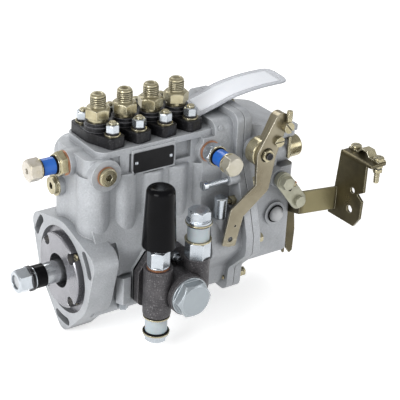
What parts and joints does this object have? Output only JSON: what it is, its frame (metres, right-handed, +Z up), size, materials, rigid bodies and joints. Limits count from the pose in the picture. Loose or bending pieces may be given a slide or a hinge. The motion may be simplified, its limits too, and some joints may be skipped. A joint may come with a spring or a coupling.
{
  "type": "diesel injection pump",
  "caption": "In-line diesel injection pump with slotted drive flange, camshaft end, governor with levers, cable bracket, and a side feed pump with a priming knob.",
  "frame": {"origin": "on the camshaft axis, in the face of the drive flange", "axes": "+X along the camshaft from the drive end to the governor, -Y to the feed pump and levers, +Z up to the outlets"},
  "size_m": [0.4, 0.202, 0.2705],
  "materials": {
    "cast_aluminium": "sand-cast, satin",
    "cast_iron": "rough cast",
    "black_steel": "black oxide, satin",
    "black_plate": "black, gloss",
    "yellow_zinc": "yellow passivated, satin",
    "olive_zinc": "dark yellow passivated, satin",
    "grey_iron": "turned",
    "clear_zinc": "zinc plated, satin",
    "machined_steel": "machined",
    "copper": "annealed, satin",
    "blue_plastic": "gloss",
    "white_plastic": "satin",
    "black_plastic": "gloss",
    "clear_pouch": "clear film over paper",
    "black_rubber": "matte"
  },
  "bodies": {
    "pump": {"pump_housing": "cast_aluminium", "governor_rear_cover": "cast_aluminium", "bearing_cover": "grey_iron", "bearing_cover_screws": "yellow_zinc", "oil_seal": "black_rubber", "camshaft_bearings": "machined_steel", "plunger_barrels": "machined_steel", "plungers": "machined_steel", "roller_tappets": "machined_steel", "element_flanges": "black_steel", "flange_studs": "yellow_zinc", "flange_washers": "yellow_zinc", "flange_lock_washers": "black_steel", "flange_nuts": "clear_zinc", "socket_plugs": "yellow_zinc", "copper_washers": "copper", "inlet_adapter": "yellow_zinc", "return_adapter": "clear_zinc", "inlet_bolt": "clear_zinc", "return_bolt": "yellow_zinc", "blue_sleeves": "blue_plastic", "seal_rings": "black_rubber", "zinc_washers": "yellow_zinc", "name_plate": "black_plate", "stop_screw": "clear_zinc", "rack_stop_post": "clear_zinc", "adjusting_screws": "yellow_zinc", "governor_gasket": "black_rubber", "cover_bolts": "yellow_zinc", "cover_plug": "clear_zinc", "spring_cap": "yellow_zinc", "feed_pump_body": "cast_iron", "feed_pump_gasket": "black_rubber", "feed_pump_nuts": "clear_zinc", "feed_pump_plug": "clear_zinc", "primer_nut": "clear_zinc", "feed_outlet_adapter": "clear_zinc", "feed_pump_sleeves": "white_plastic", "feed_pump_bolts": "clear_zinc", "cable_bracket": "olive_zinc", "cable_clamp": "yellow_zinc", "clamp_screws": "yellow_zinc", "shipping_tag": "clear_pouch", "delivery_valve_holder_1": "yellow_zinc", "delivery_valve_holder_2": "yellow_zinc", "delivery_valve_holder_3": "yellow_zinc", "delivery_valve_holder_4": "yellow_zinc"},
    "camshaft_group": {"camshaft": "machined_steel", "governor_weights": "machined_steel", "shaft_collar": "black_plastic", "shaft_lock_washer": "black_steel", "shaft_nut": "clear_zinc"},
    "speed_lever_group": {"speed_lever": "yellow_zinc", "lever_hub": "yellow_zinc", "lever_shaft": "black_steel", "cable_swivel": "yellow_zinc"},
    "stop_lever_group": {"stop_lever": "yellow_zinc", "stop_lever_bolts": "clear_zinc"},
    "primer": {"primer_knob": "black_plastic"},
    "rack": {"control_rack": "machined_steel"}
  },
  "joints": [
    {"name": "camshaft_turn", "type": "hinge", "parent": "pump", "child": "camshaft_group", "pos_m": [0, 0, 0], "axis": [1, 0, 0], "continuous": true},
    {"name": "speed_lever_turn", "type": "hinge", "parent": "pump", "child": "speed_lever_group", "pos_m": [0.209, -0.0702, 0.119], "axis": [0, 1, 0], "range_deg": [0, 25], "stiffness_Nm_per_rad": 0.3, "springref_deg": -17.19},
    {"name": "stop_lever_turn", "type": "hinge", "parent": "pump", "child": "stop_lever_group", "pos_m": [0.2445, -0.062, 0.075], "axis": [0, 1, 0], "range_deg": [0, 28]},
    {"name": "primer_stroke", "type": "slide", "parent": "pump", "child": "primer", "axis": [0, 0, 1], "range_m": [0, 0.022]},
    {"name": "rack_travel", "type": "slide", "parent": "pump", "child": "rack", "axis": [-1, 0, 0], "range_m": [0, 0.008], "stiffness_N_per_m": 300, "springref_m": -0.01}
  ],
  "couplings": [
    {"joint": "stop_lever_turn", "follows": "rack_travel", "rad_per_m": 60.6}
  ]
}
